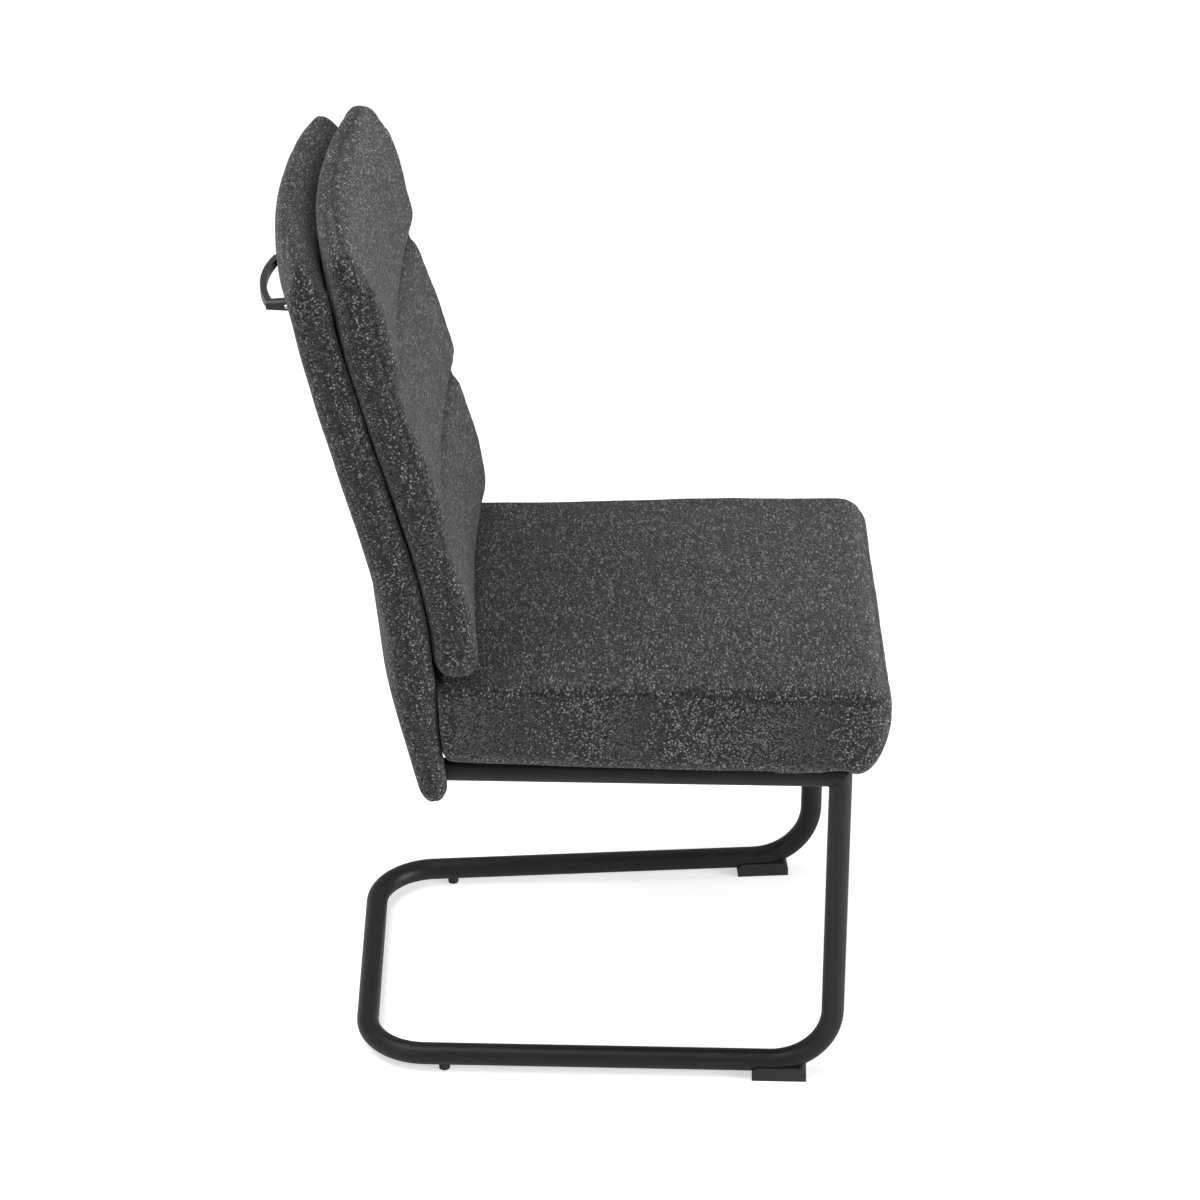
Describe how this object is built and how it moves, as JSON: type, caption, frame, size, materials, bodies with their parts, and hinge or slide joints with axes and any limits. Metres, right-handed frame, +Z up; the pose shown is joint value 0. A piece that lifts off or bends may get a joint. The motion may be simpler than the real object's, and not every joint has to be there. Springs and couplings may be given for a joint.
{
  "type": "cantilever chair",
  "caption": "Armless cantilever dining chair: round tube sled frame, padded seat, upholstered back shell with a channelled back cushion and a pull handle behind.",
  "frame": {"origin": "on the floor, under the middle of the chair's overall box", "axes": "+Z up; the sitter faces -Y; the sitter's left is +X"},
  "size_m": [0.4608, 0.6654, 1.0052],
  "materials": {
    "frame_paint": "satin black powder coat",
    "glide_plastic": "matte",
    "plywood": "raw",
    "zinc_steel": "zinc plated",
    "dust_cloth": "non-woven",
    "foam": "foam",
    "seat_fabric": "coarse flecked weave",
    "back_fabric": "coarse flecked weave",
    "cushion_fabric": "coarse flecked weave",
    "stud_plastic": "matte",
    "handle_metal": "satin black"
  },
  "bodies": {
    "root": {"back_cushion_cover": "cushion_fabric", "back_cushion_foam": "foam", "back_handle": "handle_metal", "back_panel": "plywood", "back_shell_cover": "back_fabric", "back_shell_foam": "foam", "back_strap_left": "frame_paint", "back_strap_right": "frame_paint", "base_tube": "frame_paint", "cross_bar_front": "frame_paint", "cross_bar_rear": "frame_paint", "cushion_board": "plywood", "cushion_studs": "stud_plastic", "front_glide_left": "glide_plastic", "front_glide_right": "glide_plastic", "handle_screws": "zinc_steel", "handle_sleeves": "zinc_steel", "rear_glide_left": "glide_plastic", "rear_glide_right": "glide_plastic", "seat_board": "plywood", "seat_bolts": "zinc_steel", "seat_cover": "seat_fabric", "seat_dust_cover": "dust_cloth", "seat_foam": "foam", "seat_nuts": "zinc_steel", "seat_rail_left": "frame_paint", "seat_rail_right": "frame_paint", "strap_bolts": "zinc_steel", "strap_nuts": "zinc_steel"}
  },
  "joints": []
}
